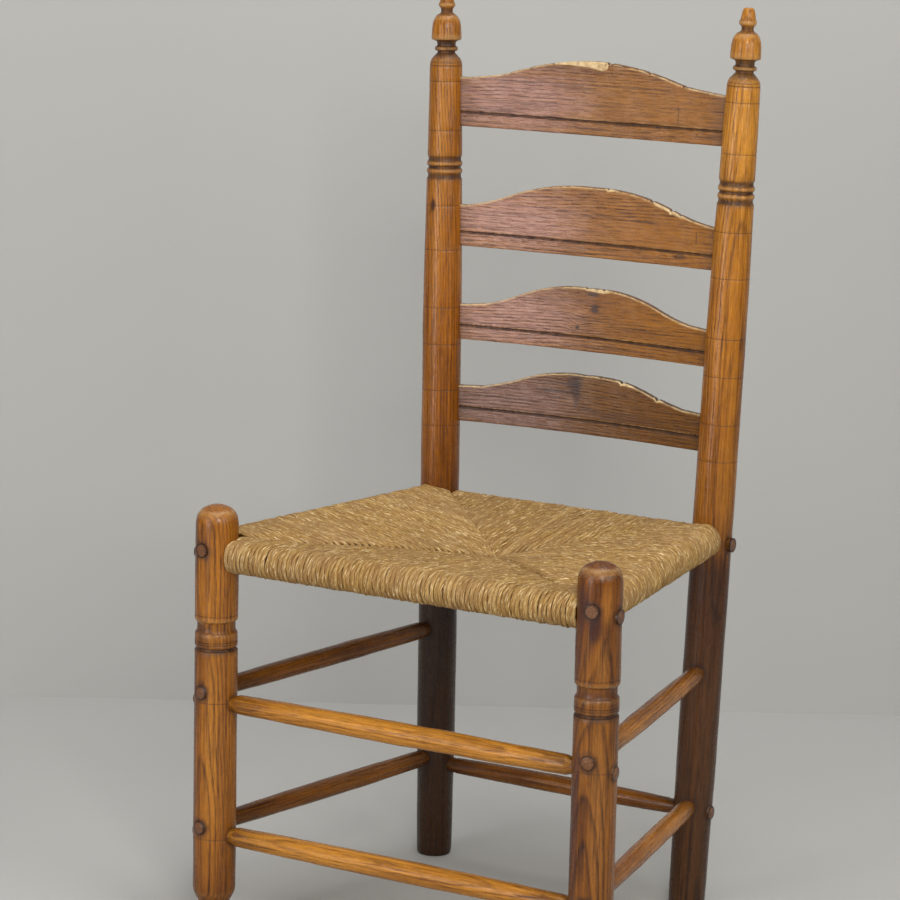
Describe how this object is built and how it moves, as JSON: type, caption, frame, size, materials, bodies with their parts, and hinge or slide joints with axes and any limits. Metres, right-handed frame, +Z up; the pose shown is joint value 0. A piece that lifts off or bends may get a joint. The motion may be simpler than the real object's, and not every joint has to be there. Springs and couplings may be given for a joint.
{
  "type": "ladderback chair",
  "caption": "Ladderback side chair: turned posts with acorn finials, arched slats up the back, round stretchers and a woven rush seat",
  "frame": {"origin": "on the floor, under the middle of the chair's overall width and depth", "axes": "+Z up; the front of the chair faces -Y; +X is to the right of someone who looks at its front"},
  "size_m": [0.5174, 0.4283, 1.0065],
  "materials": {
    "front_post_wood": "old worn varnish over reddish brown stain, satin",
    "back_post_wood": "old worn varnish over dark reddish brown stain, satin",
    "slat_wood": "old worn varnish, satin, with paler rubbed edges",
    "rung_wood": "old worn varnish, satin",
    "rush": "twisted dry rush, matt straw colour",
    "packing": "loose dry rush, matt"
  },
  "bodies": {
    "root": {"front_post_left": "front_post_wood", "front_post_right": "front_post_wood", "back_post_left": "back_post_wood", "back_post_right": "back_post_wood", "top_slat": "slat_wood", "second_slat": "slat_wood", "third_slat": "slat_wood", "bottom_slat": "slat_wood", "front_seat_rail": "rung_wood", "back_seat_rail": "rung_wood", "left_seat_rail": "rung_wood", "right_seat_rail": "rung_wood", "front_upper_stretcher": "rung_wood", "front_lower_stretcher": "rung_wood", "left_upper_stretcher": "rung_wood", "left_lower_stretcher": "rung_wood", "right_upper_stretcher": "rung_wood", "right_lower_stretcher": "rung_wood", "back_stretcher": "rung_wood", "rush_seat": "rush", "front_packing": "packing", "back_packing": "packing", "left_packing": "packing", "right_packing": "packing"}
  },
  "joints": []
}
